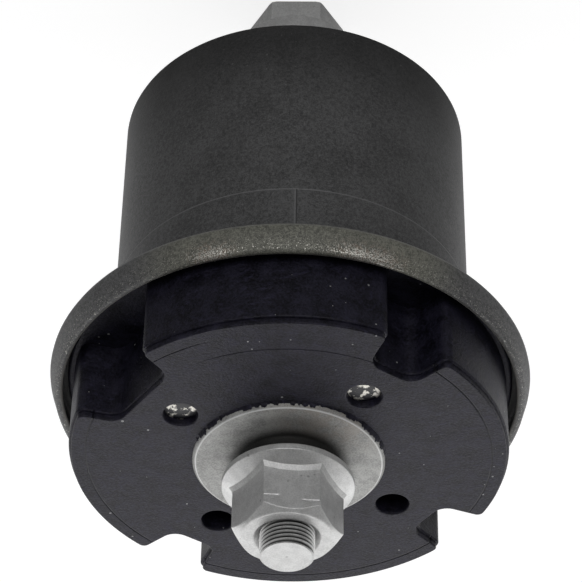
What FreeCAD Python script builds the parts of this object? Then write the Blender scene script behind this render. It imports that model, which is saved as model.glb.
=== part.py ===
import FreeCAD, Part
import math
import os

V = FreeCAD.Vector
UP = V(0, 0, 1)

# Everything is in millimetres. The part stands on the head of its bolt with
# the axis along Z, so every height is counted from the end of the bolt head.

# Bolt
thread_diameter = 12.0
hex_across_flats = 21.0
head_height = 12.9
head_flange_diameter = 29.1
head_flange_rim = 1.4
head_chamfer_face = 19.4
bolt_end_past_nut = 4.8
bolt_end_chamfer = 0.45
head_turn = 1.1

# Flange nut
nut_height = 15.0
nut_flange_diameter = 29.1
nut_flange_rim = 1.7
nut_chamfer_face = 19.6
nut_chamfer_angle = 40.0
nut_mouth_diameter = 14.6
nut_turn = -4.4
flange_cone_angle = 26.5
crimp_height = 2.6
crimp_depth = 0.55
crimp_width = 3.4
thread_clearance = 0.1

# Inner sleeve, a thick tube with a collar near the nut
inner_length = 126.95
inner_diameter = 28.6
inner_bore_clearance = 0.8
neck_height = 4.55
neck_diameter = 21.2
collar_diameter = 42.3
collar_edge_chamfer = 0.7
neck_fillet = 1.0
tube_end_chamfer = 0.5

# Outer sleeve, a drawn steel can with a rimmed flange
sleeve_diameter = 81.0
sleeve_wall = 2.0
sleeve_length = 72.5
lead_in_radius = 1.6
flange_diameter = 107.5
flange_bend = 1.5
rim_bend = 2.4
rim_height = 7.5
rim_lean = 2.2
rim_edge_radius = 0.95

# Rubber
collar_proud = 1.2
lobe_height = 23.2
face_thickness = 1.6
lobe_rim_gap = 1.95
lobe_edge_radius = 1.3
lobe_corner_radius = 2.0
floor_skin = 1.7
skin_rim_gap = 0.6
notch_count = 4
notch_first_angle = -34.0
notch_depth = 10.0
notch_floor_width = 10.4
notch_mouth_width = 14.8
notch_corner_radius = 3.0
wide_notch_floor_width = 19.0
wide_notch_mouth_width = 25.0
collar_ring_width = 1.0
collar_ring_drop = 0.4
rubber_end_recess = 4.0
rubber_dish_depth = 14.0
tube_skin = 2.2
tube_skin_share = 0.47

# Stop plate inside the rubber, bared by the moulding pin holes
plate_cover = 3.05
plate_thickness = 2.5
plate_bore_clearance = 0.1
pin_hole_share = 0.52
pin_mouth_radius = 0.5
deep_pin_depth = 9.0

# Stations along the axis that follow from the sizes above
tube_bottom = head_height
tube_top = tube_bottom + inner_length
nut_top = tube_top + nut_height
bolt_end = nut_top + bolt_end_past_nut
collar_top = tube_top - neck_height
rubber_face = collar_top - collar_proud
plate_top = rubber_face - face_thickness
flange_under = rubber_face - lobe_height
sleeve_end = flange_under - sleeve_length
flange_top = flange_under + sleeve_wall
rim_top = flange_under + rim_height
notch_floor = flange_top + floor_skin

tube_radius = inner_diameter / 2
sleeve_radius = sleeve_diameter / 2
sleeve_bore = sleeve_radius - sleeve_wall
collar_radius = collar_diameter / 2
neck_radius = neck_diameter / 2

# The rim leans inwards, so the corner that its bend is rounded from lies a
# little outside the widest circle of the flange.
rim_slope = rim_lean / rim_height
rim_corner = flange_diameter / 2 + rim_bend * (rim_slope + math.hypot(1, rim_slope) - 1)
rim_mouth = rim_corner - rim_lean - sleeve_wall

# The lobes clear the rim, the notches are cut in from the lobes, the plate
# stays covered by the notches' floor, and the pin holes lie midway between
# the collar and the plate's edge.
lobe_radius = rim_mouth - lobe_rim_gap
notch_radius = lobe_radius - notch_depth
plate_radius = notch_radius - plate_cover
pin_circle_radius = (collar_radius + plate_radius) / 2
pin_hole_radius = pin_hole_share * (plate_radius - collar_radius) / 2


def rounded_wire(corners, place):
    """Closed wire through (a, b, radius) corners, each rounded by its radius."""
    count = len(corners)
    points = [place(a, b) for a, b, radius in corners]
    spans = []
    for i in range(count):
        here = points[i]
        radius = corners[i][2]
        if radius <= 0:
            spans.append((here, None, here))
            continue
        back = (points[i - 1] - here).normalize()
        ahead = (points[(i + 1) % count] - here).normalize()
        half = back.getAngle(ahead) / 2
        reach = radius / math.tan(half)
        inward = (back + ahead).normalize()
        middle = here + inward * (radius / math.sin(half) - radius)
        spans.append((here + back * reach, middle, here + ahead * reach))
    edges = []
    for i in range(count):
        start, middle, end = spans[i]
        if middle is not None:
            edges.append(Part.Arc(start, middle, end).toShape())
        following = spans[(i + 1) % count][0]
        if end.distanceToPoint(following) > 1e-6:
            edges.append(Part.LineSegment(end, following).toShape())
    return Part.Wire(edges)


def turned(corners):
    """Solid of revolution about Z from (radius, height, rounding) corners."""
    wire = rounded_wire(corners, lambda r, z: V(r, 0, z))
    return Part.Face(wire).revolve(V(0, 0, 0), UP, 360)


def prism(corners, bottom, top):
    """Upright prism from (x, y, rounding) corners."""
    wire = rounded_wire(corners, lambda x, y: V(x, y, bottom))
    return Part.Face(wire).extrude(V(0, 0, top - bottom))


def cylinder(radius, bottom, top, x=0.0, y=0.0):
    return Part.makeCylinder(radius, top - bottom, V(x, y, bottom), UP)


def hexagon(across_flats, bottom, top, turn):
    """Hexagonal prism with two of its flats facing along Y at zero turn."""
    reach = across_flats / math.sqrt(3)
    points = []
    for k in range(7):
        angle = math.radians(turn + 60 * k)
        points.append(V(reach * math.cos(angle), reach * math.sin(angle), bottom))
    face = Part.Face(Part.makePolygon(points))
    return face.extrude(V(0, 0, top - bottom))


def flange_profile(seat, direction, diameter, rim):
    """Conical wrench flange that rises from its seat towards the hexagon."""
    radius = diameter / 2
    slope = math.tan(math.radians(flange_cone_angle))
    inner = hex_across_flats / 2 - 0.6
    rise = rim + (radius - inner) * slope
    return [(0, seat, 0), (radius, seat, rim * 0.25), (radius, seat + direction * rim, rim * 0.35),
            (inner, seat + direction * rise, 0), (0, seat + direction * rise, 0)]


def make_bolt():
    radius = thread_diameter / 2
    shank = turned([(0, 0.5 * head_height, 0), (radius, 0.5 * head_height, 0),
                    (radius, bolt_end - bolt_end_chamfer, 0),
                    (radius - bolt_end_chamfer, bolt_end, 0), (0, bolt_end, 0)])
    head = hexagon(hex_across_flats, 0, head_height - head_flange_rim, head_turn)
    face = head_chamfer_face / 2
    corner = hex_across_flats / math.sqrt(3) + 1
    rise = (corner - face) * math.tan(math.radians(30))
    form = turned([(0, 0, 0), (face, 0, 0), (corner, rise, 0),
                   (corner, head_height, 0), (0, head_height, 0)])
    head = head.common(form)
    flange = turned(flange_profile(head_height, -1, head_flange_diameter, head_flange_rim))
    return head.fuse([flange, shank]).removeSplitter()


def make_nut():
    hexed = hexagon(hex_across_flats, tube_top + 0.5 * nut_flange_rim, nut_top, nut_turn)
    face = nut_chamfer_face / 2
    corner = hex_across_flats / math.sqrt(3) + 1
    fall = (corner - face) * math.tan(math.radians(nut_chamfer_angle))
    form = turned([(0, tube_top, 0), (corner, tube_top, 0), (corner, nut_top - fall, 0),
                   (face, nut_top, 0), (0, nut_top, 0)])
    hexed = hexed.common(form)
    flange = turned(flange_profile(tube_top, 1, nut_flange_diameter, nut_flange_rim))
    nut = hexed.fuse(flange)
    bore = (thread_diameter + thread_clearance) / 2
    mouth = nut_mouth_diameter / 2
    nut = nut.cut(cylinder(bore, tube_top - 1, nut_top + 1))
    nut = nut.cut(turned([(0, nut_top - (mouth - bore), 0), (bore, nut_top - (mouth - bore), 0),
                          (mouth, nut_top, 0), (mouth, nut_top + 1, 0), (0, nut_top + 1, 0)]))
    reach = hex_across_flats / math.sqrt(3)
    low = nut_top - fall * (reach - face) / (corner - face) - crimp_height
    for k in range(6):
        # a locking crimp pressed into the upper end of each hexagon edge
        crimp = Part.makeBox(2 * crimp_width, 2 * crimp_width, nut_top - low,
                             V(reach - crimp_depth, -crimp_width, low))
        tilt = math.degrees(math.atan2(crimp_depth, crimp_height))
        crimp.rotate(V(reach - crimp_depth, 0, low), V(0, 1, 0), tilt)
        crimp.rotate(V(0, 0, 0), UP, nut_turn + 60 * k)
        nut = nut.cut(crimp)
    return nut.removeSplitter()


def make_inner_sleeve():
    bore = (thread_diameter + inner_bore_clearance) / 2
    return turned([(bore, tube_bottom, 0), (tube_radius - tube_end_chamfer, tube_bottom, 0),
                   (tube_radius, tube_bottom + tube_end_chamfer, 0), (tube_radius, plate_top, 0),
                   (collar_radius, plate_top, 0),
                   (collar_radius, collar_top - collar_edge_chamfer, 0),
                   (collar_radius - collar_edge_chamfer, collar_top, 0),
                   (neck_radius, collar_top, neck_fillet),
                   (neck_radius, tube_top - 0.2, 0), (neck_radius - 0.2, tube_top, 0),
                   (bore, tube_top, 0)])


def make_outer_sleeve():
    return turned([(sleeve_bore, sleeve_end, 0.3), (sleeve_radius, sleeve_end, lead_in_radius),
                   (sleeve_radius, flange_under, flange_bend),
                   (rim_corner, flange_under, rim_bend),
                   (rim_corner - rim_lean, rim_top, rim_edge_radius),
                   (rim_mouth, rim_top, rim_edge_radius),
                   (rim_mouth + rim_lean - rim_slope * sleeve_wall, flange_top, 0.4),
                   (sleeve_bore, flange_top, flange_bend + sleeve_wall)])


def make_stop_plate():
    bore = tube_radius + plate_bore_clearance
    base = plate_top - plate_thickness
    plate = turned([(bore, base, 0), (plate_radius, base, 0.6), (plate_radius, plate_top, 0.6),
                    (bore, plate_top, 0)])
    for x, y in pin_centres()[1:3]:
        plate = plate.cut(cylinder(pin_hole_radius, base - 1, plate_top + 1, x, y))
    return plate


def pin_centres():
    points = []
    for k in range(notch_count):
        angle = math.radians(notch_first_angle + 360 / notch_count * k)
        points.append((pin_circle_radius * math.cos(angle), pin_circle_radius * math.sin(angle)))
    return points


def notch_cutter(index):
    """Pocket between two lobes, open outwards, with rounded inner corners."""
    floor_half = notch_floor_width / 2
    mouth_half = notch_mouth_width / 2
    if index == 0:
        floor_half = wide_notch_floor_width / 2
        mouth_half = wide_notch_mouth_width / 2
    far = lobe_radius + notch_depth
    far_half = 2 * mouth_half - floor_half
    cutter = prism([(notch_radius, -floor_half, notch_corner_radius), (far, -far_half, 0),
                    (far, far_half, 0), (notch_radius, floor_half, notch_corner_radius)],
                   flange_top - 1, rubber_face + 1)
    cutter.rotate(V(0, 0, 0), UP, notch_first_angle + 360 / notch_count * index)
    return cutter


def make_lobes():
    """Thick rubber face with four notches, its edges softly rounded."""
    block = cylinder(lobe_radius, flange_top, rubber_face)
    for index in range(notch_count):
        block = block.cut(notch_cutter(index))
    corners = []
    for edge in block.Edges:
        low, high = edge.BoundBox.ZMin, edge.BoundBox.ZMax
        reach = math.hypot(edge.CenterOfMass.x, edge.CenterOfMass.y)
        if high - low > 1 and reach > lobe_radius - 0.5 and edge.BoundBox.XLength < 0.01:
            corners.append(edge)
    block = block.makeFillet(lobe_corner_radius, corners)
    top = [edge for edge in block.Edges if edge.BoundBox.ZMin > rubber_face - 0.01]
    return block.makeFillet(lobe_edge_radius, top)


def make_rubber():
    low = sleeve_end
    wall_start = low + rubber_end_recess
    dish = low + rubber_dish_depth
    skin = tube_radius + tube_skin
    middle = (skin + sleeve_bore) / 2
    skin_end = low - tube_skin_share * (low - tube_bottom)
    edge = rim_mouth - skin_rim_gap
    body = turned([(tube_radius, skin_end, 0), (skin, skin_end, 0.8), (skin + 1.5, low, 3.0),
                   (middle, dish, 5.0), (sleeve_bore - 2.5, wall_start, 1.2),
                   (sleeve_bore, wall_start, 0), (sleeve_bore, flange_top, flange_bend + sleeve_wall),
                   (edge, flange_top, 0), (edge, notch_floor, 0.8), (tube_radius, notch_floor, 0)])
    ring = cylinder(collar_radius + collar_ring_width, rubber_face - 1, collar_top - collar_ring_drop)
    rubber = body.fuse([make_lobes(), ring])
    rubber = rubber.cut(cylinder(tube_radius, 0, nut_top))
    rubber = rubber.cut([cylinder(collar_radius, plate_top, nut_top),
                         cylinder(plate_radius, plate_top - plate_thickness, plate_top)])
    for k, (x, y) in enumerate(pin_centres()):
        depth = deep_pin_depth if k in (1, 2) else face_thickness
        hole = cylinder(pin_hole_radius, rubber_face - depth, rubber_face + 1, x, y)
        mouth = Part.makeCone(pin_hole_radius, pin_hole_radius + 2 * pin_mouth_radius,
                              2 * pin_mouth_radius, V(x, y, rubber_face - pin_mouth_radius), UP)
        rubber = rubber.cut([hole, mouth])
    return rubber.removeSplitter()


def main():
    parts = {
        "outer_sleeve": make_outer_sleeve(),
        "rubber_bush": make_rubber(),
        "stop_plate": make_stop_plate(),
        "inner_sleeve": make_inner_sleeve(),
        "bolt": make_bolt(),
        "flange_nut": make_nut(),
    }
    os.makedirs("parts", exist_ok=True)
    for name, shape in parts.items():
        if len(shape.Solids) == 1:
            shape = shape.Solids[0]
        shape.exportStep("parts/" + name + ".step")
        print(name, shape.isValid(), len(shape.Solids), round(shape.Volume, 1), shape.BoundBox)


main()
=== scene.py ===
import math

import bmesh
import bpy
from bpy.props import FloatProperty, FloatVectorProperty, IntProperty, PointerProperty
from mathutils import Matrix, Vector, noise


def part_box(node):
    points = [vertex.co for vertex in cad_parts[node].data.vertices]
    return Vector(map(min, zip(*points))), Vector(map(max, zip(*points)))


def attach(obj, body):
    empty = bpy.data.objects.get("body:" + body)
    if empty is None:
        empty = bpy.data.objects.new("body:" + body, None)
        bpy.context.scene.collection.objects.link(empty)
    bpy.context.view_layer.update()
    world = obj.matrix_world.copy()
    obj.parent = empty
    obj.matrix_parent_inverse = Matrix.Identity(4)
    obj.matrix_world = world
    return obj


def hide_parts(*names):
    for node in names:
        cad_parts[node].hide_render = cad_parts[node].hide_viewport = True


bl_info = {
    "name": "Trailing Arm Bushing",
    "version": (1, 0, 0),
    "blender": (4, 5, 0),
    "location": "View3D > Sidebar > Bushing",
    "description": "Builds a trailing arm bushing with its bolt and nut around the packed solids",
    "category": "Object",
}

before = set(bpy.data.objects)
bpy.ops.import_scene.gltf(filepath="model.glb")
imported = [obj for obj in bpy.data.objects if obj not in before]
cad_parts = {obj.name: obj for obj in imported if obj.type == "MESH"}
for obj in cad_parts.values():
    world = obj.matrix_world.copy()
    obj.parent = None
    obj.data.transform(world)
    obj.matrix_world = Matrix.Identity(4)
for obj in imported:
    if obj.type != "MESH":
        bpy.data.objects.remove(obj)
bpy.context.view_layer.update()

# Heights that the solids already fix, in metres
SLEEVE_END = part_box("outer_sleeve")[0].z
RIM_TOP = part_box("outer_sleeve")[1].z
RIM_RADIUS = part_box("outer_sleeve")[1].x
TUBE_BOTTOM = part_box("inner_sleeve")[0].z
TUBE_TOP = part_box("inner_sleeve")[1].z
SKIN_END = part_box("rubber_bush")[0].z
NUT_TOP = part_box("flange_nut")[1].z
BOLT_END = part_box("bolt")[1].z
PLATE_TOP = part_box("stop_plate")[1].z
MM = 0.001

# Forms that more than one piece or finish takes up
BORE_RADIUS = 6.4 * MM
COLLAR_PROUD = 1.2 * MM
COLLAR_CHAMFER = 0.7 * MM
RIM_BEND = 2.4 * MM
SKIN_THICKNESS = 1.7 * MM
FIRST_NOTCH = math.radians(-34)
THREAD_SHOWN = 4.0 * MM
THREAD_STEPS = 96

# Soft lamps: name, direction from the part, distance, width and height, brightness
LAMPS = (("key", (0.0, 0.79, 0.61), 1.3, (2.3, 1.7), 1.5),
         ("fill", (0.0, -0.93, 0.25), 1.4, (1.1, 0.70), 2.8),
         ("left", (0.70, 0.68, 0.20), 1.2, (0.7, 0.6), 1.4),
         ("right", (-0.70, 0.68, 0.20), 1.2, (0.7, 0.6), 1.5))

# Places of wear, mould marks and painted highlights: degrees round the axis, and metres
RIM_FRONT = -92.0
LEFT_WEAR, RIGHT_WEAR = -71.0, -108.0
LIP_RADIUS = 50.75 * MM
BEND_HEIGHT = RIM_TOP - 6.3 * MM
SEAM_LIGHT, SEAM_DARK = -90.6, -90.95
STAIN_MIDDLE = -118.0
FLASH_MIDDLE = -95.0
OUTER_WITNESS, INNER_WITNESS = 44.6 * MM, 39.2 * MM


def length(name, description, default):
    return FloatProperty(name=name, description=description, default=default,
                         unit="LENGTH", subtype="DISTANCE", precision=5)


def colour(name, description, default):
    return FloatVectorProperty(name=name, description=description, default=default,
                               subtype="COLOR", size=3, min=0.0, max=1.0)


class BushingSizes(bpy.types.PropertyGroup):
    """Sizes of the pieces, in metres."""
    sleeve_radius: length("Sleeve radius", "Outside radius of the pressed-in sleeve", 40.5 * MM)
    sleeve_wall: length("Sleeve wall", "Sheet thickness of the sleeve", 2.0 * MM)
    flange_drop: length("Flange drop", "Depth of the flange's underside below the rim's top", 7.5 * MM)
    rim_lean: length("Rim lean", "How far the rim leans inwards from bottom to top", 2.2 * MM)
    band_height: length("Band line height", "Height of the fine line round the sleeve", 90.4 * MM)
    lobe_radius: length("Lobe radius", "Outside radius of the rubber lobes", 48.36 * MM)
    lobe_rise: length("Lobe rise", "Height of the rubber face above the flange's underside", 23.2 * MM)
    notch_depth: length("Notch depth", "Depth of the notches between the lobes", 10.0 * MM)
    notch_width: length("Notch width", "Width of a notch at its floor", 10.4 * MM)
    wide_notch_width: length("Wide notch width", "Width of the wide notch at its floor", 19.0 * MM)
    pin_circle: length("Pin hole circle", "Radius of the circle of moulding pin holes", 28.25 * MM)
    pin_radius: length("Pin hole radius", "Radius of a moulding pin hole", 3.7 * MM)
    collar_radius: length("Collar radius", "Outside radius of the collar", 21.15 * MM)
    tube_radius: length("Tube radius", "Outside radius of the inner sleeve", 14.3 * MM)
    neck_radius: length("Neck radius", "Outside radius of the neck that the nut sits on", 10.6 * MM)
    neck_height: length("Neck height", "Height of the nut's seat above the collar", 4.55 * MM)
    across_flats: length("Across flats", "Width of both hexagons across their flats", 21.0 * MM)
    cone_angle: FloatProperty(name="Cone angle", description="Slope of both wrench flanges",
                              default=math.radians(26.5), subtype="ANGLE")
    flange_radius: length("Wrench flange radius", "Radius of the nut's and bolt head's flange", 14.55 * MM)
    thread_radius: length("Thread radius", "Outside radius of the thread", 6.0 * MM)
    thread_pitch: length("Thread pitch", "Distance from one thread turn to the next", 1.0 * MM)
    round_steps: IntProperty(name="Round steps", description="Steps round the large turned pieces",
                             default=240, min=48, max=480)


class BushingColours(bpy.types.PropertyGroup):
    """Base colours of the finishes."""
    coating: colour("Coating", "Matte black coating of the sleeve", (0.062, 0.062, 0.063))
    worn_coating: colour("Worn coating", "Thin coating round the rim", (0.155, 0.155, 0.130))
    bare_steel: colour("Bare steel", "Steel where the coating is rubbed off", (0.62, 0.60, 0.55))
    rust: colour("Rust", "Rust beside the rubbed places", (0.16, 0.065, 0.03))
    rubber: colour("Rubber", "Moulded rubber", (0.0060, 0.0056, 0.0110))
    dust: colour("Dust", "Dust and specks on the rubber", (0.42, 0.42, 0.42))
    collar: colour("Collar", "Blasted metal of the collar", (0.36, 0.36, 0.35))
    plating: colour("Plating", "Zinc flake coating of the bolt and nut", (0.62, 0.62, 0.615))
    floor: colour("Floor", "Pale floor", (0.36, 0.36, 0.36))


def sizes_set():
    return bpy.context.scene.bushing_sizes


def colours_set():
    return bpy.context.scene.bushing_colours


# Mesh helpers

def ring_verts(geometry):
    return [part for part in geometry if isinstance(part, bmesh.types.BMVert)]


def ring_edges(geometry):
    return [part for part in geometry if isinstance(part, bmesh.types.BMEdge)]


def round_corner(bm, vert, before, after, rounding, segments):
    """Rounds one corner of a wire to the given radius."""
    here = vert.co.copy()
    half = (before - here).angle(after - here) / 2
    reach = rounding / math.tan(half)
    bmesh.ops.bevel(bm, geom=[vert], offset=reach, offset_type="OFFSET", segments=segments,
                    profile=0.5, affect="VERTICES", material=-1, clamp_overlap=False)


def turn_profile(bm, corners, steps, closed=False):
    """Turns a wire of (radius, height, rounding) corners once round the axis."""
    spots = [Vector((radius, 0.0, height)) for radius, height, _ in corners]
    verts = [bm.verts.new(spot) for spot in spots]
    edges = [bm.edges.new(pair) for pair in zip(verts, verts[1:])]
    if closed:
        edges.append(bm.edges.new((verts[-1], verts[0])))
    count = len(corners)
    for i, (_, _, rounding) in enumerate(corners):
        if rounding > 0:
            segments = 3 if rounding < 0.8 * MM else 6
            round_corner(bm, verts[i], spots[i - 1], spots[(i + 1) % count], rounding, segments)
    bmesh.ops.spin(bm, geom=bm.verts[:] + bm.edges[:], cent=(0, 0, 0), axis=(0, 0, 1),
                   dvec=(0, 0, 0), angle=math.tau, steps=steps, use_merge=True,
                   use_normal_flip=False, use_duplicate=False)
    bmesh.ops.remove_doubles(bm, verts=bm.verts[:], dist=1e-7)


def place_ring(verts, station):
    """Moves a ring's vertices to the radius and height that a station gives for their angle."""
    for vert in verts:
        angle = math.atan2(vert.co.y, vert.co.x)
        radius, height = station(angle)
        vert.co = Vector((radius * math.cos(angle), radius * math.sin(angle), height))


def ring_stack(bm, count, stations):
    """Rings placed by station functions, each extruded from the last."""
    first = bmesh.ops.create_circle(bm, cap_ends=False, segments=count, radius=1.0)["verts"]
    edges = list({edge for vert in first for edge in vert.link_edges})
    place_ring(first, stations[0])
    rings = [first]
    for station in stations[1:]:
        grown = bmesh.ops.extrude_edge_only(bm, edges=edges)["geom"]
        verts, edges = ring_verts(grown), ring_edges(grown)
        place_ring(verts, station)
        rings.append(verts)
    return rings


def finish_piece(bm, name, material, replaces=None, sharp=35.0):
    """Makes the mesh an object that rides on the part's body."""
    bmesh.ops.recalc_face_normals(bm, faces=bm.faces[:])
    mesh = bpy.data.meshes.new(name)
    bm.to_mesh(mesh)
    bm.free()
    mesh.polygons.foreach_set("use_smooth", [True] * len(mesh.polygons))
    mesh.set_sharp_from_angle(angle=math.radians(sharp))
    mesh.materials.append(material)
    piece = bpy.data.objects.new(name, mesh)
    bpy.context.scene.collection.objects.link(piece)
    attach(piece, "root")
    if replaces:
        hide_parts(replaces)
    return piece


# Shader helpers

class Wiring:
    """Adds nodes to a tree and links them."""

    def __init__(self, tree):
        self.tree = tree

    def feed(self, socket, value):
        """Links a socket, or sets its value."""
        if isinstance(value, bpy.types.NodeSocket):
            self.tree.links.new(value, socket)
        else:
            socket.default_value = value

    def node(self, kind, sockets=None, **settings):
        made = self.tree.nodes.new(kind)
        for key, value in settings.items():
            setattr(made, key, value)
        for key, value in (sockets or {}).items():
            self.feed(made.inputs[key], value)
        return made

    def calc(self, operation, *values, clamp=False):
        sockets = dict(enumerate(values))
        return self.node("ShaderNodeMath", sockets, operation=operation, use_clamp=clamp).outputs[0]

    def plus(self, first, second):
        return self.calc("ADD", first, second)

    def times(self, first, second):
        return self.calc("MULTIPLY", first, second)

    def rest(self, share):
        """What a share leaves of one."""
        return self.calc("SUBTRACT", 1.0, share)

    def apart(self, value, middle):
        """How far a value lies from a middle one."""
        return self.calc("ABSOLUTE", self.calc("SUBTRACT", value, middle))

    def ramp(self, value, low, high):
        """0 at low, 1 at high, smooth between them."""
        return self.node("ShaderNodeMapRange", {"Value": value, "From Min": low, "From Max": high},
                         interpolation_type="SMOOTHSTEP").outputs["Result"]

    def cloud(self, position, scale, detail, roughness=0.5, output=0):
        """Noise, with its scale in bumps for each metre."""
        return self.node("ShaderNodeTexNoise", {"Vector": position, "Scale": scale, "Detail": detail,
                                                "Roughness": roughness}).outputs[output]

    def blend(self, factor, first, second):
        made = self.node("ShaderNodeMix", data_type="RGBA")
        for number, value in ((0, factor), (6, first), (7, second)):
            self.feed(made.inputs[number], value)
        return made.outputs[2]

    def group(self, tree, **sockets):
        made = self.node("ShaderNodeGroup")
        made.node_tree = tree
        for key, value in sockets.items():
            self.feed(made.inputs[key], value)
        return made.outputs

    def dress(self, shader, colour_now, roughness, height, strength, depth):
        """Feeds a shader's colour and roughness, and a bump whose depth is in metres."""
        self.feed(shader.inputs["Base Color"], colour_now)
        self.feed(shader.inputs["Roughness"], roughness)
        relief = self.node("ShaderNodeBump", {"Height": height, "Strength": strength, "Distance": depth})
        self.feed(shader.inputs["Normal"], relief.outputs["Normal"])


def rgba(colour_values, share=1.0):
    """Colour with alpha, times a share, for a colour socket."""
    return tuple(min(1.0, part * share) for part in colour_values) + (1.0,)


def new_group(name, inputs, outputs):
    """Empty shader node group. Its inputs are numbers, or a vector where the default is None."""
    tree = bpy.data.node_groups.new(name, "ShaderNodeTree")
    for label, value in inputs.items():
        kind = "NodeSocketVector" if value is None else "NodeSocketFloat"
        socket = tree.interface.new_socket(name=label, in_out="INPUT", socket_type=kind)
        if value is not None:
            socket.default_value = value
    for label in outputs:
        tree.interface.new_socket(name=label, in_out="OUTPUT", socket_type="NodeSocketFloat")
    start = tree.nodes.new("NodeGroupInput").outputs
    end = tree.nodes.new("NodeGroupOutput").inputs
    return tree, Wiring(tree), start, end


def round_place_group():
    """Radius, height and angle of a place about the part's axis."""
    if "Round place" in bpy.data.node_groups:
        return bpy.data.node_groups["Round place"]
    tree, wire, start, end = new_group("Round place", {"Position": None}, ("Radius", "Height", "Angle"))
    split = wire.node("ShaderNodeSeparateXYZ", {"Vector": start["Position"]}).outputs
    square = wire.plus(wire.times(split["X"], split["X"]), wire.times(split["Y"], split["Y"]))
    tree.links.new(wire.calc("SQRT", square), end["Radius"])
    tree.links.new(split["Z"], end["Height"])
    tree.links.new(wire.calc("DEGREES", wire.calc("ARCTAN2", split["Y"], split["X"])), end["Angle"])
    return tree


def grain_group():
    """Fine grain with broader mottling behind it."""
    if "Grain" in bpy.data.node_groups:
        return bpy.data.node_groups["Grain"]
    tree, wire, start, end = new_group("Grain", {"Position": None, "Fine": 3000.0, "Broad": 150.0},
                                       ("Fine", "Broad", "Height"))
    fine = wire.cloud(start["Position"], start["Fine"], 3.0, 0.65)
    broad = wire.cloud(start["Position"], start["Broad"], 4.0, 0.55)
    tree.links.new(fine, end["Fine"])
    tree.links.new(broad, end["Broad"])
    tree.links.new(wire.plus(wire.times(fine, 0.6), wire.times(broad, 0.4)), end["Height"])
    return tree


def specks_group():
    """Scattered specks of dust or bare metal."""
    if "Specks" in bpy.data.node_groups:
        return bpy.data.node_groups["Specks"]
    tree, wire, start, end = new_group(
        "Specks", {"Position": None, "Density": 400.0, "Size": 0.2, "Share": 0.2}, ("Mask",))
    cells = wire.node("ShaderNodeTexVoronoi", {"Vector": start["Position"], "Scale": start["Density"],
                                               "Randomness": 1.0}, feature="F1").outputs
    chance = wire.node("ShaderNodeSeparateColor", {"Color": cells["Color"]}).outputs
    size = wire.times(start["Size"], wire.plus(0.4, chance["Green"]))
    dot = wire.calc("LESS_THAN", cells["Distance"], size)
    kept = wire.calc("LESS_THAN", chance["Red"], start["Share"])
    tree.links.new(wire.times(dot, kept), end["Mask"])
    return tree


def line_group():
    """Narrow line where a value passes a place."""
    if "Line" in bpy.data.node_groups:
        return bpy.data.node_groups["Line"]
    tree, wire, start, end = new_group("Line", {"Value": 0.0, "Place": 0.0, "Width": 0.001}, ("Mask",))
    share = wire.calc("DIVIDE", wire.apart(start["Value"], start["Place"]), start["Width"])
    tree.links.new(wire.calc("SUBTRACT", 1.0, share, clamp=True), end["Mask"])
    return tree


def line_at(wire, value, place, width):
    """Mask of a line, brightest where the value meets the place."""
    return wire.group(line_group(), Value=value, Place=place, Width=width)["Mask"]


def specks_on(wire, position, density, size, share):
    """Mask of specks: cells for each metre, speck size in cells, and the share of cells with one."""
    return wire.group(specks_group(), Position=position, Density=density, Size=size, Share=share)["Mask"]


def new_material(name):
    """Material with a Principled BSDF, and the position and round place of each point."""
    material = bpy.data.materials.new(name)
    material.use_nodes = True
    tree = material.node_tree
    wire = Wiring(tree)
    shader = tree.nodes["Principled BSDF"]
    position = wire.node("ShaderNodeTexCoord").outputs["Object"]
    place = wire.group(round_place_group(), Position=position)
    return material, wire, shader, position, place


def coat_colour(wire, position, place, grain):
    """Matte coating of the can, darker towards its far end, and the mottling in it."""
    tints = colours_set()
    clouds = wire.cloud(position, 90.0, 3.0)
    mottling = wire.plus(wire.times(grain["Fine"], 0.5), wire.times(grain["Broad"], 0.34))
    mottling = wire.ramp(wire.plus(mottling, wire.times(clouds, 0.16)), 0.38, 0.62)
    base = wire.blend(mottling, rgba(tints.coating, 0.50), rgba(tints.coating, 1.75))
    far_end = wire.ramp(place["Height"], SLEEVE_END + 30 * MM, SLEEVE_END)
    base = wire.blend(wire.times(far_end, 0.70), base, rgba(tints.coating, 0.12))
    specks = specks_on(wire, position, 900.0, 0.16, 0.08)
    return wire.blend(wire.times(specks, 0.12), base, rgba(tints.dust)), mottling


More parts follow.
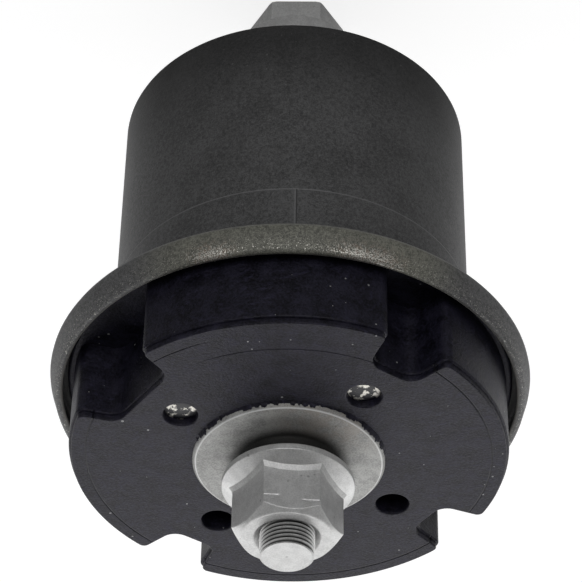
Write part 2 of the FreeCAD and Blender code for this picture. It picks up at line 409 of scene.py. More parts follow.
def rim_wear_and_painted_light(wire, position, place, grain, on_rim, front, base):
    """Rust, painted shade inside the rim, a painted highlight on its bend and rubbed metal: the colour, and
    the mask of bare metal, which also holds the lip's painted highlight.
    """
    tints = colours_set()
    left = wire.ramp(wire.apart(place["Angle"], LEFT_WEAR), 8.0, 1.0)
    right = wire.ramp(wire.apart(place["Angle"], RIGHT_WEAR), 13.0, 2.0)
    patches = wire.calc("MAXIMUM", left, right)
    upper = wire.ramp(place["Height"], RIM_TOP - 5.0 * MM, RIM_TOP - 0.6 * MM)
    # grains of metal in two patches above the lip, and a thin line along the lip that is bare metal and also
    # a painted highlight, stronger on the front
    chips = wire.cloud(position, 3300.0, 3.0, 0.7)
    reach = wire.plus(wire.times(patches, 0.13), wire.times(front, 0.015))
    grains = wire.ramp(wire.plus(chips, wire.times(upper, reach)), 0.60, 0.66)
    grains = wire.times(grains, wire.times(on_rim, upper))
    crest = wire.calc("GREATER_THAN", place["Height"], RIM_TOP - 0.7 * MM)
    lip = wire.times(line_at(wire, place["Radius"], LIP_RADIUS, 0.6 * MM), crest)
    lip = wire.times(lip, wire.plus(0.50, wire.times(front, 0.40)))
    rusty = wire.times(patches, wire.ramp(grain["Broad"], 0.45, 0.6))
    base = wire.blend(wire.times(rusty, wire.times(upper, 0.5)), base, rgba(tints.rust))
    # painted highlight: a lighter line along the rim's bend
    bend = wire.times(line_at(wire, place["Height"], BEND_HEIGHT, 0.5 * MM), on_rim)
    base = wire.blend(wire.times(bend, 0.35), base, rgba(tints.coating, 4.5))
    # painted shade: the coating inside the rim is made nearly black
    inside = wire.calc("LESS_THAN", place["Height"], RIM_TOP - 0.8 * MM)
    inside = wire.times(inside, wire.ramp(place["Radius"], LIP_RADIUS + 0.85 * MM, LIP_RADIUS + 0.15 * MM))
    inside = wire.times(inside, on_rim)
    base = wire.blend(wire.times(inside, 0.9), base, rgba(tints.coating, 0.1))
    wear_and_lip_highlight = wire.calc("MAXIMUM", grains, lip)
    return wire.blend(wear_and_lip_highlight, base, rgba(tints.bare_steel)), wear_and_lip_highlight


def can_lines(wire, place, base):
    """Fine line round the can and the seam between it and the flange: the colour, and the mask."""
    tints = colours_set()
    sizes = sizes_set()
    band = line_at(wire, place["Height"], sizes.band_height, 0.28 * MM)
    above = wire.calc("GREATER_THAN", place["Height"], sizes.band_height)
    outside = wire.calc("LESS_THAN", place["Radius"], sizes.sleeve_radius + 0.4 * MM)
    light = wire.times(line_at(wire, place["Angle"], SEAM_LIGHT, 0.7), above)
    lines = wire.times(wire.calc("MAXIMUM", band, light), outside)
    base = wire.blend(wire.times(lines, 0.75), base, rgba(tints.coating, 3.0))
    dark = wire.times(line_at(wire, place["Angle"], SEAM_DARK, 0.35), wire.times(above, outside))
    return wire.blend(wire.times(dark, 0.9), base, rgba(tints.coating, 0.1)), lines


def coated_steel():
    if "Coated steel" in bpy.data.materials:
        return bpy.data.materials["Coated steel"]
    tints = colours_set()
    sizes = sizes_set()
    material, wire, shader, position, place = new_material("Coated steel")
    grain = wire.group(grain_group(), Position=position, Fine=3600.0, Broad=1300.0)
    base, mottling = coat_colour(wire, position, place, grain)
    # the flange and its rim carry a thinner coat, olive grey on the front
    on_rim = wire.ramp(place["Radius"], sizes.sleeve_radius + 2 * MM, sizes.sleeve_radius + 7 * MM)
    front = wire.ramp(wire.apart(place["Angle"], RIM_FRONT), 44.0, 26.0)
    plain = wire.blend(mottling, rgba(tints.coating, 0.75), rgba(tints.coating, 2.3))
    olive = wire.blend(mottling, rgba(tints.worn_coating, 0.5), rgba(tints.worn_coating, 1.55))
    base = wire.blend(on_rim, base, wire.blend(front, plain, olive))
    base, wear_and_lip_highlight = rim_wear_and_painted_light(wire, position, place, grain, on_rim, front, base)
    base, lines = can_lines(wire, place, base)
    wire.feed(shader.inputs["Metallic"], wire.times(wear_and_lip_highlight, 0.85))
    rough = wire.plus(0.50, wire.times(grain["Fine"], 0.16))
    rough = wire.calc("SUBTRACT", rough, wire.times(wear_and_lip_highlight, 0.2))
    height = wire.calc("SUBTRACT", grain["Height"], wire.times(lines, 1.2))
    wire.dress(shader, base, rough, height, 0.55, 0.20 * MM)
    return material


def flow_streaks(wire, position):
    """Faint streaks in which the rubber flowed, bent by a slow noise."""
    bend = wire.cloud(position, 30.0, 1.0, output="Color")
    bent = wire.node("ShaderNodeVectorMath", {0: bend, 3: 0.03}, operation="SCALE").outputs[0]
    bent = wire.node("ShaderNodeVectorMath", {0: position, 1: bent}, operation="ADD").outputs[0]
    flow = wire.node("ShaderNodeMapping", {"Vector": bent, "Scale": (0.55, 1.2, 1.0)}).outputs[0]
    return wire.cloud(flow, 800.0, 4.0, 0.65)


def witness_lines(wire, place):
    """Lines that the mould's inserts leave on the face, further in on the front lobe."""
    on_face = wire.calc("GREATER_THAN", place["Height"], RIM_TOP + 14 * MM)
    on_front = wire.ramp(wire.apart(place["Angle"], -90.0), 34.0, 20.0)
    outer = line_at(wire, place["Radius"], OUTER_WITNESS, 0.28 * MM)
    inner = line_at(wire, place["Radius"], INNER_WITNESS, 0.22 * MM)
    lines = wire.calc("MAXIMUM", wire.times(outer, wire.rest(on_front)),
                      wire.times(wire.times(inner, 0.5), on_front))
    return wire.times(lines, on_face)


def moulded_rubber():
    if "Moulded rubber" in bpy.data.materials:
        return bpy.data.materials["Moulded rubber"]
    tints = colours_set()
    material, wire, shader, position, place = new_material("Moulded rubber")
    grain = wire.group(grain_group(), Position=position, Fine=1900.0, Broad=240.0)
    mixed = wire.plus(wire.times(grain["Fine"], 0.5), wire.times(grain["Broad"], 0.5))
    base = wire.blend(wire.ramp(mixed, 0.36, 0.64), rgba(tints.rubber, 0.3), rgba(tints.rubber, 2.1))
    streaks = flow_streaks(wire, position)
    base = wire.blend(wire.ramp(streaks, 0.52, 0.72), base, rgba(tints.rubber, 3.2))
    small = specks_on(wire, position, 620.0, 0.12, 0.09)
    large = specks_on(wire, position, 230.0, 0.055, 0.30)
    dust = wire.calc("MAXIMUM", wire.times(small, 0.7), large)
    base = wire.blend(wire.times(dust, 0.8), base, rgba(tints.dust))
    witness = witness_lines(wire, place)
    base = wire.blend(wire.times(witness, 0.75), base, rgba(tints.rubber, 0.15))
    shader.inputs["Specular Tint"].default_value = (0.92, 0.90, 1.0, 1.0)
    wire.feed(shader.inputs["Specular IOR Level"], wire.plus(0.02, wire.times(mixed, 0.52)))
    rough = wire.plus(wire.times(grain["Broad"], 0.26), wire.times(streaks, 0.20))
    height = wire.plus(grain["Height"], wire.times(streaks, 0.25))
    height = wire.calc("SUBTRACT", height, wire.times(witness, 1.4))
    wire.dress(shader, base, wire.plus(0.28, rough), height, 0.60, 0.40 * MM)
    return material


def silver_metal(name, tint, fine, broad, mottle, roughness, metallic, relief, marks):
    """Metal finish shared by the collar, the bolt, the nut and the plate, each with its own marks, some of
    which are painted shade and highlight.
    """
    if name in bpy.data.materials:
        return bpy.data.materials[name]
    material, wire, shader, position, place = new_material(name)
    grain = wire.group(grain_group(), Position=position, Fine=fine, Broad=broad)
    mixed = wire.plus(wire.times(grain["Fine"], 0.6), wire.times(grain["Broad"], 0.4))
    base = wire.blend(wire.ramp(mixed, 0.36, 0.64), rgba(tint, 1 - mottle), rgba(tint, 1 + mottle))
    pits = specks_on(wire, position, 700.0, 0.16, 0.10)
    base = wire.blend(wire.times(pits, 0.5), base, rgba(tint, 0.35))
    shader.inputs["Metallic"].default_value = metallic
    spot = {"Position": position, "Broad": grain["Broad"]}
    spot.update((key, place[key]) for key in ("Radius", "Height", "Angle"))
    base = marks(wire, shader, spot, base)
    rough = wire.plus(roughness, wire.times(grain["Fine"], 0.14))
    wire.dress(shader, base, rough, grain["Height"], relief, 0.12 * MM)
    return material


def thread_root_shade(wire, shader, spot, base):
    """Painted shade in the roots of the bolt's thread."""
    sizes = sizes_set()
    root = wire.ramp(spot["Radius"], sizes.thread_radius - 0.10 * MM, sizes.thread_radius - 0.45 * MM)
    below = wire.calc("LESS_THAN", spot["Height"], BOLT_END - 0.45 * MM)
    above = wire.calc("GREATER_THAN", spot["Height"], NUT_TOP - 5 * MM)
    # painted shade: the thread's roots near the nut's top are made nearly black
    painted_root_shade = wire.times(root, wire.times(above, below))
    return wire.blend(wire.times(painted_root_shade, 0.93), base, rgba((0.02, 0.02, 0.02)))


def collar_stain_and_painted_light(wire, shader, spot, base):
    """Brown stain, painted shade round the neck under the nut, and a painted highlight along the collar's
    edge.
    """
    sizes = sizes_set()
    stain = wire.ramp(wire.apart(spot["Angle"], STAIN_MIDDLE), 55.0, 15.0)
    stain = wire.times(stain, wire.ramp(spot["Broad"], 0.35, 0.62))
    base = wire.blend(wire.times(stain, 0.4), base, rgba((0.20, 0.15, 0.11)))
    # painted shade round the neck under the nut: near-black colour and little specular
    neck_shade = wire.ramp(spot["Radius"], sizes.neck_radius + 3.9 * MM, sizes.neck_radius + 0.2 * MM)
    base = wire.blend(wire.times(neck_shade, 0.93), base, rgba((0.01, 0.01, 0.01)))
    wire.feed(shader.inputs["Specular IOR Level"], wire.times(wire.rest(neck_shade), 0.5))
    # painted highlight: a near-white line along the collar's chamfered edge
    edge = line_at(wire, spot["Radius"], sizes.collar_radius - 0.66 * MM, 0.26 * MM)
    return wire.blend(wire.times(edge, 0.8), base, rgba((0.95, 0.95, 0.95)))


def torn_film(wire, shader, spot, base):
    """Torn film of rubber on the plate at the bottom of the pin holes."""
    tints = colours_set()
    film = wire.ramp(wire.cloud(spot["Position"], 420.0, 5.0, 0.65), 0.54, 0.50)
    metallic = shader.inputs["Metallic"]
    wire.feed(metallic, wire.times(metallic.default_value, wire.rest(film)))
    return wire.blend(film, base, rgba(tints.rubber))


def plated_steel():
    tints = colours_set()
    return silver_metal("Plated steel", tints.plating, fine=3000.0, broad=420.0, mottle=0.14,
                        roughness=0.34, metallic=0.42, relief=0.45, marks=thread_root_shade)


def collar_metal():
    tints = colours_set()
    return silver_metal("Collar metal", tints.collar, fine=3300.0, broad=300.0, mottle=0.30,
                        roughness=0.44, metallic=0.30, relief=0.75, marks=collar_stain_and_painted_light)


def plate_steel():
    tints = colours_set()
    return silver_metal("Plate steel", tints.bare_steel, fine=2400.0, broad=420.0, mottle=0.25,
                        roughness=0.30, metallic=0.8, relief=0.8, marks=torn_film)


# Shapes

def hexagon_reach(angle, half_width):
    """Distance from the axis to a hexagon's side at an angle, with a corner at zero."""
    within = angle % (math.pi / 3) - math.pi / 6
    return half_width / math.cos(within)


def from_corner(angle):
    """Angle to the nearest corner of the hexagon."""
    within = angle % (math.pi / 3)
    return min(within, math.pi / 3 - within)


def cone_rise(sizes, radius, rim):
    """Height of the wrench flange's cone above its seat."""
    return rim + (sizes.flange_radius - radius) * math.tan(sizes.cone_angle)


def soften(bm, edges, width, segments):
    """Rounds edges by an offset on both sides."""
    bmesh.ops.bevel(bm, geom=edges, offset=width, offset_type="OFFSET", segments=segments,
                    profile=0.5, affect="EDGES", material=-1, clamp_overlap=False)


def bevel_rings(bm, pairs, segments):
    """Softens each ring of edges by its own width."""
    for verts, width in pairs:
        chosen = set(verts)
        edges = [edge for vert in chosen for edge in vert.link_edges
                 if edge.other_vert(vert) in chosen]
        soften(bm, list(set(edges)), width, segments)


def thread_helix(bm, radius, pitch, depth, bottom, top, end_radius, steps):
    """Right-handed thread whose last turns run out through the end chamfer."""
    crest, root = 0.20 * pitch, 0.10 * pitch
    marks = [(radius, 0.0), (radius, crest), (radius - depth, 0.5 * pitch + crest / 2 - root / 2),
             (radius - depth, 0.5 * pitch + crest / 2 + root / 2), (radius, pitch)]
    verts = [bm.verts.new((r, 0.0, bottom + z)) for r, z in marks]
    edges = [bm.edges.new(pair) for pair in zip(verts, verts[1:])]
    turns = int(math.ceil((top - bottom) / pitch)) + 1
    bmesh.ops.spin(bm, geom=verts + edges, cent=(0, 0, 0), axis=(0, 0, 1),
                   dvec=(0, 0, pitch / steps), angle=math.tau * turns, steps=steps * turns,
                   use_merge=False, use_normal_flip=False, use_duplicate=False)
    for vert in bm.verts:
        reach = math.hypot(vert.co.x, vert.co.y)
        if vert.co.z > top:
            vert.co.z = top
        limit = end_radius + (top - vert.co.z)
        if reach > limit and reach > 0:
            vert.co.x *= limit / reach
            vert.co.y *= limit / reach


def rim_corner(sizes):
    """Radius at which the rim's outside and the flange's underside would meet unrounded."""
    slope = sizes.rim_lean / sizes.flange_drop
    return RIM_RADIUS + RIM_BEND * (slope + math.hypot(1, slope) - 1)


def rim_mouth(sizes):
    """Inner radius at the rim's top."""
    return rim_corner(sizes) - sizes.rim_lean - sizes.sleeve_wall


def build_sleeve():
    sizes = sizes_set()
    outer, wall = sizes.sleeve_radius, sizes.sleeve_wall
    under = RIM_TOP - sizes.flange_drop
    slope = sizes.rim_lean / sizes.flange_drop
    corner, mouth = rim_corner(sizes), rim_mouth(sizes)
    edge = 0.95 * MM
    unevenness = 0.16 * MM
    bm = bmesh.new()
    turn_profile(bm, [
        (outer - wall, SLEEVE_END, 0.3 * MM), (outer, SLEEVE_END, 1.6 * MM), (outer, 60 * MM, 0),
        (outer, 85 * MM, 0), (outer, under, 1.5 * MM), (corner, under, RIM_BEND),
        (corner - sizes.rim_lean, RIM_TOP, edge), (mouth, RIM_TOP, edge),
        (mouth + sizes.rim_lean - slope * wall, under + wall, 0.4 * MM),
        (outer - wall, under + wall, 3.5 * MM), (outer - wall, 85 * MM, 0)], sizes.round_steps, closed=True)
    # the rim was rolled over, so its crest isn't quite even
    for vert in bm.verts:
        reach = math.hypot(vert.co.x, vert.co.y)
        if vert.co.z > under + 3 * MM and reach > mouth - 1 * MM:
            share = (vert.co.z - under - 3 * MM) / (4.5 * MM)
            shift = abs(noise.noise(Vector((vert.co.x, vert.co.y, 0.0)) * 45)) * unevenness * share
            vert.co.x *= 1 - shift / reach
            vert.co.y *= 1 - shift / reach
            vert.co.z -= shift * 0.5
    return finish_piece(bm, "sleeve_shell", coated_steel(), "outer_sleeve")


def notch(sizes, number):
    """Middle angle of a notch, and its half widths at the floor and at the mouth."""
    wide = number % 4 == 0
    floor_half = (sizes.wide_notch_width if wide else sizes.notch_width) / 2
    mouth_half = floor_half + (3.0 if wide else 2.2) * MM
    return FIRST_NOTCH + math.radians(90 * number), floor_half, mouth_half


def lobe_outline(bm, sizes, height):
    """Closed wire round the four lobes, with rounded corners in and out."""
    spots, rounds = [], []
    deep = sizes.lobe_radius - sizes.notch_depth
    mouth_rounding, floor_rounding = 2.0 * MM, 3.0 * MM
    margin, steps = 0.06, 30
    for number in range(4):
        middle, floor_half, mouth_half = notch(sizes, number)
        next_half = notch(sizes, number + 1)[2]
        along = Vector((math.cos(middle), math.sin(middle), 0))
        across = Vector((-math.sin(middle), math.cos(middle), 0))
        lip = math.sqrt(sizes.lobe_radius ** 2 - mouth_half ** 2)
        for reach, side, rounding in (
                (lip, -mouth_half, mouth_rounding), (deep, -floor_half, floor_rounding),
                (deep, floor_half, floor_rounding), (lip, mouth_half, mouth_rounding)):
            spots.append(along * reach + across * side + Vector((0, 0, height)))
            rounds.append(rounding)
        start = middle + math.asin(mouth_half / sizes.lobe_radius) + margin
        end = middle + math.pi / 2 - math.asin(next_half / sizes.lobe_radius) - margin
        for step in range(steps + 1):
            angle = start + (end - start) * step / steps
            spots.append(Vector((sizes.lobe_radius * math.cos(angle),
                                 sizes.lobe_radius * math.sin(angle), height)))
            rounds.append(0)
    verts = [bm.verts.new(spot) for spot in spots]
    for i, vert in enumerate(verts):
        bm.edges.new((vert, verts[(i + 1) % len(verts)]))
    for i, rounding in enumerate(rounds):
        if rounding > 0:
            round_corner(bm, verts[i], spots[i - 1], spots[(i + 1) % len(spots)], rounding, 7)


def lobe_block(bm, sizes, face, foot):
    """The four lobes, with a narrow ledge round the face. Gives the edges round the face."""
    ledge = face - 1.25 * MM
    lobe_outline(bm, sizes, ledge)
    top = bmesh.ops.contextual_create(bm, geom=bm.edges[:])["faces"]
    bmesh.ops.recalc_face_normals(bm, faces=top)
    if top[0].normal.z < 0:
        bmesh.ops.reverse_faces(bm, faces=top)
    grown = bmesh.ops.extrude_face_region(bm, geom=top)["geom"]
    # the copy stays at the ledge, and the first outline goes down to the lobes' foot
    lifted = set(ring_verts(grown))
    for vert in bm.verts:
        if vert not in lifted:
            vert.co.z = foot
    cap = [f for f in bm.faces if len(f.verts) > 8 and f.calc_center_median().z > ledge - 0.1 * MM][0]
    shoulder = list(cap.edges)
    bmesh.ops.inset_region(bm, faces=[cap], thickness=0.55 * MM, use_even_offset=True, use_boundary=True)
    grown = bmesh.ops.extrude_face_region(bm, geom=[cap])["geom"]
    bmesh.ops.delete(bm, geom=[cap], context="FACES_ONLY")
    for vert in ring_verts(grown):
        vert.co.z = face
    cap = [f for f in grown if isinstance(f, bmesh.types.BMFace)][0]
    brink = list(cap.edges)
    soften(bm, shoulder, 0.5 * MM, 4)
    soften(bm, brink, 0.35 * MM, 4)
    cap = max((f for f in bm.faces if f.calc_center_median().z > face - 0.05 * MM),
              key=lambda f: len(f.verts))
    rim = list(cap.edges)
    bmesh.ops.delete(bm, geom=[cap], context="FACES_ONLY")
    return rim


def sink_holes(bm, sizes, face, rim):
    """Fills the face round the collar's seat and the four pin holes, and sinks these."""
    seat = sizes.collar_radius + 0.3 * MM
    rounds = [(Vector((0, 0, face)), seat + 0.3 * MM, 144)]
    for number in range(4):
        angle = notch(sizes, number)[0]
        centre = Vector((sizes.pin_circle * math.cos(angle), sizes.pin_circle * math.sin(angle), face))
        rounds.append((centre, sizes.pin_radius + 0.5 * MM, 40))
    holes = []
    loops = list(rim)
    for centre, radius, count in rounds:
        made = bmesh.ops.create_circle(bm, cap_ends=False, segments=count, radius=radius,
                                       matrix=Matrix.Translation(centre))["verts"]
        edges = list({edge for vert in made for edge in vert.link_edges})
        holes.append((centre, radius, edges))
        loops += edges
    bmesh.ops.triangle_fill(bm, use_beauty=True, use_dissolve=False, edges=loops, normal=(0, 0, 1))
    for number, (centre, radius, edges) in enumerate(holes):
        blind = number in (2, 3)
        if number == 0:
            steps = [(seat, face - 0.1 * MM), (seat - 0.15 * MM, face - 0.5 * MM),
                     (sizes.collar_radius, PLATE_TOP), (sizes.tube_radius, PLATE_TOP)]
        else:
            floor = face - 9.0 * MM if blind else PLATE_TOP + 0.03 * MM
            steps = [(radius - 0.35 * MM, face - 0.12 * MM), (radius - 0.5 * MM, face - 0.5 * MM),
                     (radius - 0.62 * MM, floor)]
        for reach, height in steps:
            grown = bmesh.ops.extrude_edge_only(bm, edges=edges)["geom"]
            edges = ring_edges(grown)
            for vert in ring_verts(grown):
                away = Vector((vert.co.x - centre.x, vert.co.y - centre.y, 0)).normalized() * reach
                vert.co = Vector((centre.x + away.x, centre.y + away.y, height))
        if blind:
            bmesh.ops.contextual_create(bm, geom=edges)


def join_mesh(bm, extra):
    """Adds another mesh to the first, and lets it go."""
    spare = bpy.data.meshes.new("spare")
    extra.to_mesh(spare)
    extra.free()
    bm.from_mesh(spare)
    bpy.data.meshes.remove(spare)


def spring_body(sizes, floor, under):
    """Spring inside the can, the skin over the flange and the sleeve of rubber on the tube."""
    bore = sizes.sleeve_radius - sizes.sleeve_wall - 0.02 * MM
    low, tube = SLEEVE_END, sizes.tube_radius + 0.01 * MM
    skin = tube + 2.2 * MM
    shelf = under + sizes.sleeve_wall + 0.02 * MM
    edge = rim_mouth(sizes) - 0.6 * MM
    body = bmesh.new()
    turn_profile(body, [
        (tube, SKIN_END, 0), (skin, SKIN_END, 0.8 * MM), (skin + 1.5 * MM, low, 3.0 * MM),
        ((skin + bore) / 2, low + 14 * MM, 5.0 * MM), (bore - 2.5 * MM, low + 4 * MM, 1.2 * MM),
        (bore, low + 4 * MM, 0), (bore, shelf, 3.5 * MM), (edge, shelf, 0),
        (edge, floor, 0.8 * MM), (tube, floor, 0)], sizes.round_steps, closed=True)
    return body


def build_rubber():
    sizes = sizes_set()
    under = RIM_TOP - sizes.flange_drop
    face = under + sizes.lobe_rise
    floor = under + sizes.sleeve_wall + SKIN_THICKNESS
    bm = bmesh.new()
    rim = lobe_block(bm, sizes, face, floor - 0.6 * MM)
    sink_holes(bm, sizes, face, rim)
    join_mesh(bm, spring_body(sizes, floor, under))
    piece = finish_piece(bm, "rubber_spring", moulded_rubber(), "rubber_bush", sharp=50)
    weighted = piece.modifiers.new("weighted", "WEIGHTED_NORMAL")
    weighted.keep_sharp = True
    return piece


def build_collar():
    sizes = sizes_set()
    top = TUBE_TOP - sizes.neck_height
    tube, neck, collar = sizes.tube_radius, sizes.neck_radius, sizes.collar_radius
    foot_chamfer, neck_chamfer, softness = 0.5 * MM, 0.2 * MM, 0.12 * MM
    bm = bmesh.new()
    turn_profile(bm, [
        (BORE_RADIUS, TUBE_BOTTOM, 0), (tube - foot_chamfer, TUBE_BOTTOM, 0),
        (tube, TUBE_BOTTOM + foot_chamfer, 0), (tube, PLATE_TOP, 0), (collar, PLATE_TOP, 0),
        (collar, top - COLLAR_CHAMFER, softness), (collar - COLLAR_CHAMFER, top, softness),
        (neck, top, 0.6 * MM), (neck, TUBE_TOP - neck_chamfer, 0), (neck - neck_chamfer, TUBE_TOP, 0),
        (BORE_RADIUS, TUBE_TOP, 0)], sizes.round_steps, closed=True)
    return finish_piece(bm, "collar_tube", collar_metal(), "inner_sleeve")


def build_flash():
    """Torn rubber flash that creeps over the collar's edge."""
    sizes = sizes_set()
    top = TUBE_TOP - sizes.neck_height
    face = top - COLLAR_PROUD
    crown = top - 0.66 * MM
    collar = sizes.collar_radius
    outside, foot = collar + 0.55 * MM, face - 0.4 * MM

    def creep(angle):
        """How far the film reaches over the collar's edge, only on the front."""
        towards = abs((math.degrees(angle) - FLASH_MIDDLE + 180) % 360 - 180)
        share = max(0.0, min(1.0, (80 - towards) / 10))
        spot = Vector((math.cos(angle), math.sin(angle), 0))
        ragged = noise.fractal(spot * 17, 0.9, 2.2, 5) * 0.9 + noise.fractal(spot * 4, 0.8, 2.1, 4) * 1.6
        return share * min(0.75, 0.20 * math.exp(ragged)) * MM

    def climb(angle, past):
        """Height that the film reaches on the collar's wall, and at most so far past its crown."""
        return min(face + creep(angle) * 3.0, crown + past)

    bm = bmesh.new()
    ring_stack(bm, 1440, [
        lambda a: (outside, face - 0.05 * MM),
        lambda a: (collar + 0.20 * MM, face + min(creep(a) * 2.0, 0.40 * MM) - 0.05 * MM),
        lambda a: (collar + 0.06 * MM, climb(a, 0.12 * MM)),
        lambda a: (collar + 0.05 * MM - creep(a) * 0.6, climb(a, 0.12 * MM) + creep(a) * 0.6),
        lambda a: (collar + 0.02 * MM - creep(a), climb(a, 0.04 * MM) + creep(a) * 0.9),
        lambda a: (collar - creep(a) * 0.9, foot), lambda a: (outside, foot)])
    return finish_piece(bm, "moulding_flash", moulded_rubber(), sharp=60)


def turn_hexagon(bm, degrees):
    """Turns a piece to the angle at which its hexagon stands."""
    bmesh.ops.rotate(bm, verts=bm.verts[:], cent=(0, 0, 0),
                     matrix=Matrix.Rotation(math.radians(degrees), 3, "Z"))


def build_nut():
    sizes = sizes_set()
    half, wide = sizes.across_flats / 2, sizes.flange_radius
    seat, rim = TUBE_TOP, 1.7 * MM
    bore = sizes.thread_radius + 0.05 * MM
    mouth, face = 7.3 * MM, 9.8 * MM
    chamfer_slope = math.tan(math.radians(40))

    def side(angle):
        return hexagon_reach(angle, half)

    def on_cone(reach):
        return (reach, seat + cone_rise(sizes, reach, rim))

    def dent(angle, level):
        """Locking dents at both ends of the front flat: depth and height at four levels."""
        corner = round(math.degrees(angle) / 60) % 6
        from_edge = side(angle) * math.sin(from_corner(angle))
        front = 240 < math.degrees(angle) % 360 < 300
        drop, long, tall = (4.15, 3.3, 1.7) if corner == 5 else (3.3, 3.6, 0.7)
        share = max(0.0, 1 - from_edge / (long * MM)) if front and corner in (4, 5) else 0.0
        depth = 0.17 * MM * min(1.0, share * 3) if level in (1, 2) else 0.0
        rises = (0.0, 0.24, 0.3 + tall * share, 0.52 + tall * share)
        return (side(angle) - depth, NUT_TOP - drop * MM + rises[level] * MM)

    bm = bmesh.new()
    rings = ring_stack(bm, 288, [
        lambda a: (bore, seat), lambda a: (wide - 0.4 * MM, seat), lambda a: (wide, seat + 0.4 * MM),
        lambda a: (wide, seat + rim), lambda a: on_cone(wide - 0.6 * MM), lambda a: on_cone(side(a)),
        lambda a: dent(a, 0), lambda a: dent(a, 1), lambda a: dent(a, 2), lambda a: dent(a, 3),
        lambda a: (side(a), NUT_TOP - (side(a) - face) * chamfer_slope),
        lambda a: (face, NUT_TOP), lambda a: (mouth, NUT_TOP),
        lambda a: (bore, NUT_TOP - (mouth - bore)), lambda a: (bore, seat)])
    bmesh.ops.remove_doubles(bm, verts=bm.verts[:], dist=1e-7)
    rings = [[vert for vert in ring if vert.is_valid] for ring in rings]
    bevel_rings(bm, [(rings[5], 0.73 * MM)], 1)
    bevel_rings(bm, [(rings[2], 0.2 * MM), (rings[3], 0.16 * MM)], 3)
    bevel_rings(bm, [(rings[10], 0.14 * MM), (rings[11], 0.3 * MM), (rings[12], 0.2 * MM)], 2)
    turn_hexagon(bm, -4.4)
    return finish_piece(bm, "locking_nut", plated_steel(), "flange_nut", sharp=9)


def bolt_head(sizes):
    """Flanged hexagon head, from its seat down to a shallow dish in its end."""
    half, wide = sizes.across_flats / 2, sizes.flange_radius
    seat, rim, face = TUBE_BOTTOM, 4.3 * MM, 11.5 * MM
    dish, dish_depth = 7.8 * MM, 0.35 * MM

    def side(angle):
        return hexagon_reach(angle, half)

    def cone(reach):
        return seat - cone_rise(sizes, reach, rim)

    bm = bmesh.new()
    rings = ring_stack(bm, 192, [
        lambda a: (sizes.thread_radius, seat), lambda a: (wide - 0.3 * MM, seat),
        lambda a: (wide, seat - 0.3 * MM), lambda a: (wide, seat - 1.3 * MM),
        lambda a: (wide - 0.35 * MM, seat - 1.5 * MM), lambda a: (wide - 0.45 * MM, seat - rim),
        lambda a: (wide - 0.9 * MM, cone(wide - 0.45 * MM)), lambda a: (side(a), cone(side(a))),
        lambda a: (side(a), max(0.05 * MM, (side(a) - face) * 0.6)),
        lambda a: (min(face, side(a) - 0.05 * MM), 0.0), lambda a: (dish + 0.7 * MM, 0.0),
        lambda a: (dish, dish_depth), lambda a: (1.0 * MM, dish_depth)])
    bmesh.ops.contextual_create(bm, geom=[e for e in bm.edges if e.is_boundary and e.verts[0].co.z < 1 * MM])
    bevel_rings(bm, [(rings[7], 0.7 * MM)], 1)
    bevel_rings(bm, [(rings[3], 0.1 * MM), (rings[5], 0.2 * MM)], 2)
    turn_hexagon(bm, 1.1)
    return bm


def build_bolt():
    sizes = sizes_set()
    radius, pitch = sizes.thread_radius, sizes.thread_pitch
    depth = 0.66 * pitch
    start = NUT_TOP - THREAD_SHOWN
    end_radius = radius - 0.42 * MM
    softness = 0.08 * MM
    bm = bolt_head(sizes)
    shank = bmesh.new()
    turn_profile(shank, [(radius, TUBE_BOTTOM, 0), (radius, start, 0), (radius - depth, start, 0)],
                 THREAD_STEPS)
    threaded = bmesh.new()
    thread_helix(threaded, radius, pitch, depth, start - pitch, BOLT_END - 0.06 * MM, end_radius,
                 THREAD_STEPS)
    cap = bmesh.new()
    turn_profile(cap, [(0.0, BOLT_END, 0), (end_radius - softness, BOLT_END, 0),
                       (end_radius, BOLT_END - softness, 0),
                       (end_radius - depth, BOLT_END - 0.9 * MM, 0)], THREAD_STEPS)
    for extra in (shank, threaded, cap):
        bmesh.ops.recalc_face_normals(extra, faces=extra.faces[:])
        join_mesh(bm, extra)
    return finish_piece(bm, "flange_bolt", plated_steel(), "bolt", sharp=28)


# Operators

class BUSHING_OT_sleeve(bpy.types.Operator):
    """Build the coated sleeve with its flange and rolled rim"""
    bl_idname = "bushing.sleeve"
    bl_label = "Outer Sleeve"

    def execute(self, context):
        build_sleeve()
        return {"FINISHED"}


class BUSHING_OT_rubber(bpy.types.Operator):
    """Build the moulded rubber with its four lobes"""
    bl_idname = "bushing.rubber"
    bl_label = "Rubber"

    def execute(self, context):
        build_rubber()
        build_flash()
        return {"FINISHED"}


class BUSHING_OT_collar(bpy.types.Operator):
    """Build the inner sleeve with its collar, and finish the stop plate"""
    bl_idname = "bushing.collar"
    bl_label = "Inner Sleeve and Plate"

    def execute(self, context):
        build_collar()
        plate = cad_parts["stop_plate"]
        plate.data.materials.clear()
        plate.data.materials.append(plate_steel())
        return {"FINISHED"}


class BUSHING_OT_bolt(bpy.types.Operator):
    """Build the threaded bolt with its flanged head"""
    bl_idname = "bushing.bolt"
    bl_label = "Bolt"

    def execute(self, context):
        build_bolt()
        return {"FINISHED"}


class BUSHING_OT_nut(bpy.types.Operator):
    """Build the locking flange nut"""
    bl_idname = "bushing.nut"
    bl_label = "Locking Nut"

    def execute(self, context):
        build_nut()
        return {"FINISHED"}


def place_camera(scene):
    """Camera at the photograph's place, which looks down on an upended part."""
    place = (0.0, -0.465, 0.475684)
    right = Vector((-0.9998316, -0.0127871, -0.0131631))
    up = Vector((0.0183032, -0.6428622, -0.7657632))
    lens = bpy.data.cameras.new("camera")
    lens.sensor_width = 36.0
    lens.lens = 162.25
    lens.shift_x, lens.shift_y = -0.00737, -0.00094
    lens.clip_start, lens.clip_end = 0.01, 50.0
    camera = bpy.data.objects.new("camera", lens)
    turn = Matrix((right, up, right.cross(up))).transposed()
    camera.matrix_world = Matrix.Translation(place) @ turn.to_4x4()
    scene.collection.objects.link(camera)
    scene.camera = camera


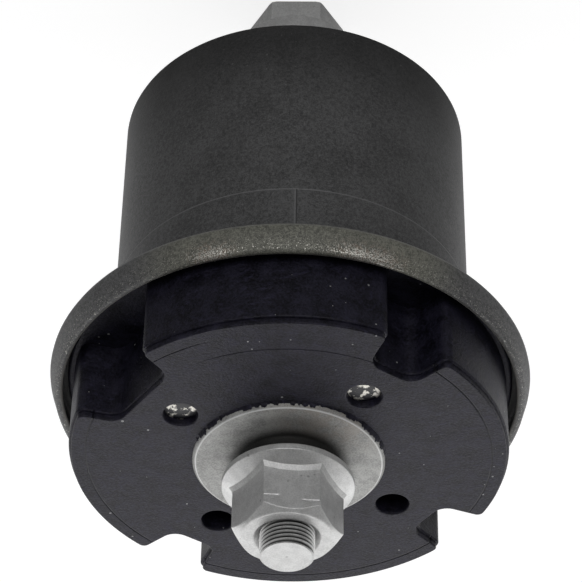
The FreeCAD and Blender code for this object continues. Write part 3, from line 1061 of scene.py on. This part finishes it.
def floor_paint():
    """Pale floor that the camera sees as nearly white, and that glows only in reflections and only behind
    the part, a glow that puts bright reflections on the part.
    """
    tints = colours_set()
    paint = bpy.data.materials.new("Floor paint")
    paint.use_nodes = True
    wire = Wiring(paint.node_tree)
    shader = paint.node_tree.nodes["Principled BSDF"]
    position = wire.node("ShaderNodeTexCoord").outputs["Object"]
    grain = wire.group(grain_group(), Position=position, Fine=900.0, Broad=20.0)
    shade = wire.blend(grain["Broad"], rgba(tints.floor, 0.98), rgba(tints.floor))
    wire.feed(shader.inputs["Base Color"], shade)
    shader.inputs["Roughness"].default_value = 0.9
    shader.inputs["Specular IOR Level"].default_value = 0.0
    path = wire.node("ShaderNodeLightPath").outputs
    # glow seen only in reflections, behind the part
    across = wire.node("ShaderNodeSeparateXYZ", {"Vector": position}).outputs["Y"]
    behind = wire.times(wire.ramp(across, -0.02, 0.07), 0.80)
    seen = wire.plus(wire.times(path["Is Camera Ray"], 0.78), wire.times(path["Is Glossy Ray"], behind))
    shader.inputs["Emission Color"].default_value = (1, 1, 1, 1)
    wire.feed(shader.inputs["Emission Strength"], seen)
    return paint


def lay_floor(scene):
    bm = bmesh.new()
    bmesh.ops.create_grid(bm, x_segments=2, y_segments=2, size=4.0)
    mesh = bpy.data.meshes.new("floor")
    bm.to_mesh(mesh)
    bm.free()
    mesh.materials.append(floor_paint())
    floor = bpy.data.objects.new("floor", mesh)
    scene.collection.objects.link(floor)


def light_surroundings(scene):
    """World that the camera sees as white and that lights the part only weakly."""
    world = bpy.data.worlds.new("studio")
    scene.world = world
    world.use_nodes = True
    wire = Wiring(world.node_tree)
    ground = world.node_tree.nodes["Background"]
    ground.inputs["Color"].default_value = (1, 1, 1, 1)
    seen = wire.node("ShaderNodeLightPath").outputs["Is Camera Ray"]
    wire.feed(ground.inputs["Strength"], wire.plus(0.12, wire.times(seen, 0.88)))


def area_light(name, direction, distance, size, brightness):
    """Soft lamp aimed at the part, whose panel shines at the given brightness."""
    lamp = bpy.data.lights.new(name, "AREA")
    lamp.shape = "RECTANGLE"
    lamp.size, lamp.size_y = size
    lamp.energy = brightness * math.pi * size[0] * size[1]
    lamp_object = bpy.data.objects.new(name, lamp)
    target = Vector((0, 0, 0.1))
    place = target + Vector(direction).normalized() * distance
    lamp_object.location = place
    lamp_object.rotation_mode = "QUATERNION"
    lamp_object.rotation_quaternion = (target - place).to_track_quat("-Z", "Y")
    bpy.context.scene.collection.objects.link(lamp_object)


class BUSHING_OT_stage(bpy.types.Operator):
    """Set up the floor, the soft lights and the camera"""
    bl_idname = "bushing.stage"
    bl_label = "Stage"

    def execute(self, context):
        scene = context.scene
        scene.view_settings.view_transform = "Standard"
        place_camera(scene)
        lay_floor(scene)
        light_surroundings(scene)
        for lamp in LAMPS:
            area_light(*lamp)
        return {"FINISHED"}


STEPS = ("sleeve", "rubber", "collar", "bolt", "nut", "stage")


class BUSHING_PT_panel(bpy.types.Panel):
    """Buttons that build the bushing piece by piece"""
    bl_idname = "BUSHING_PT_panel"
    bl_label = "Trailing Arm Bushing"
    bl_space_type = "VIEW_3D"
    bl_region_type = "UI"
    bl_category = "Bushing"

    def draw(self, context):
        layout = self.layout
        for step in STEPS:
            layout.operator("bushing." + step)
        for settings in (context.scene.bushing_sizes, context.scene.bushing_colours):
            box = layout.box()
            for key in settings.__annotations__:
                box.prop(settings, key)


CLASSES = (BushingSizes, BushingColours, BUSHING_OT_sleeve, BUSHING_OT_rubber, BUSHING_OT_collar,
           BUSHING_OT_bolt, BUSHING_OT_nut, BUSHING_OT_stage, BUSHING_PT_panel)


def register():
    for entry in CLASSES:
        bpy.utils.register_class(entry)
    bpy.types.Scene.bushing_sizes = PointerProperty(type=BushingSizes)
    bpy.types.Scene.bushing_colours = PointerProperty(type=BushingColours)


def unregister():
    del bpy.types.Scene.bushing_sizes
    del bpy.types.Scene.bushing_colours
    for entry in reversed(CLASSES):
        bpy.utils.unregister_class(entry)


def main():
    register()
    for step in STEPS:
        getattr(bpy.ops.bushing, step)()


if __name__ == "__main__":
    main()
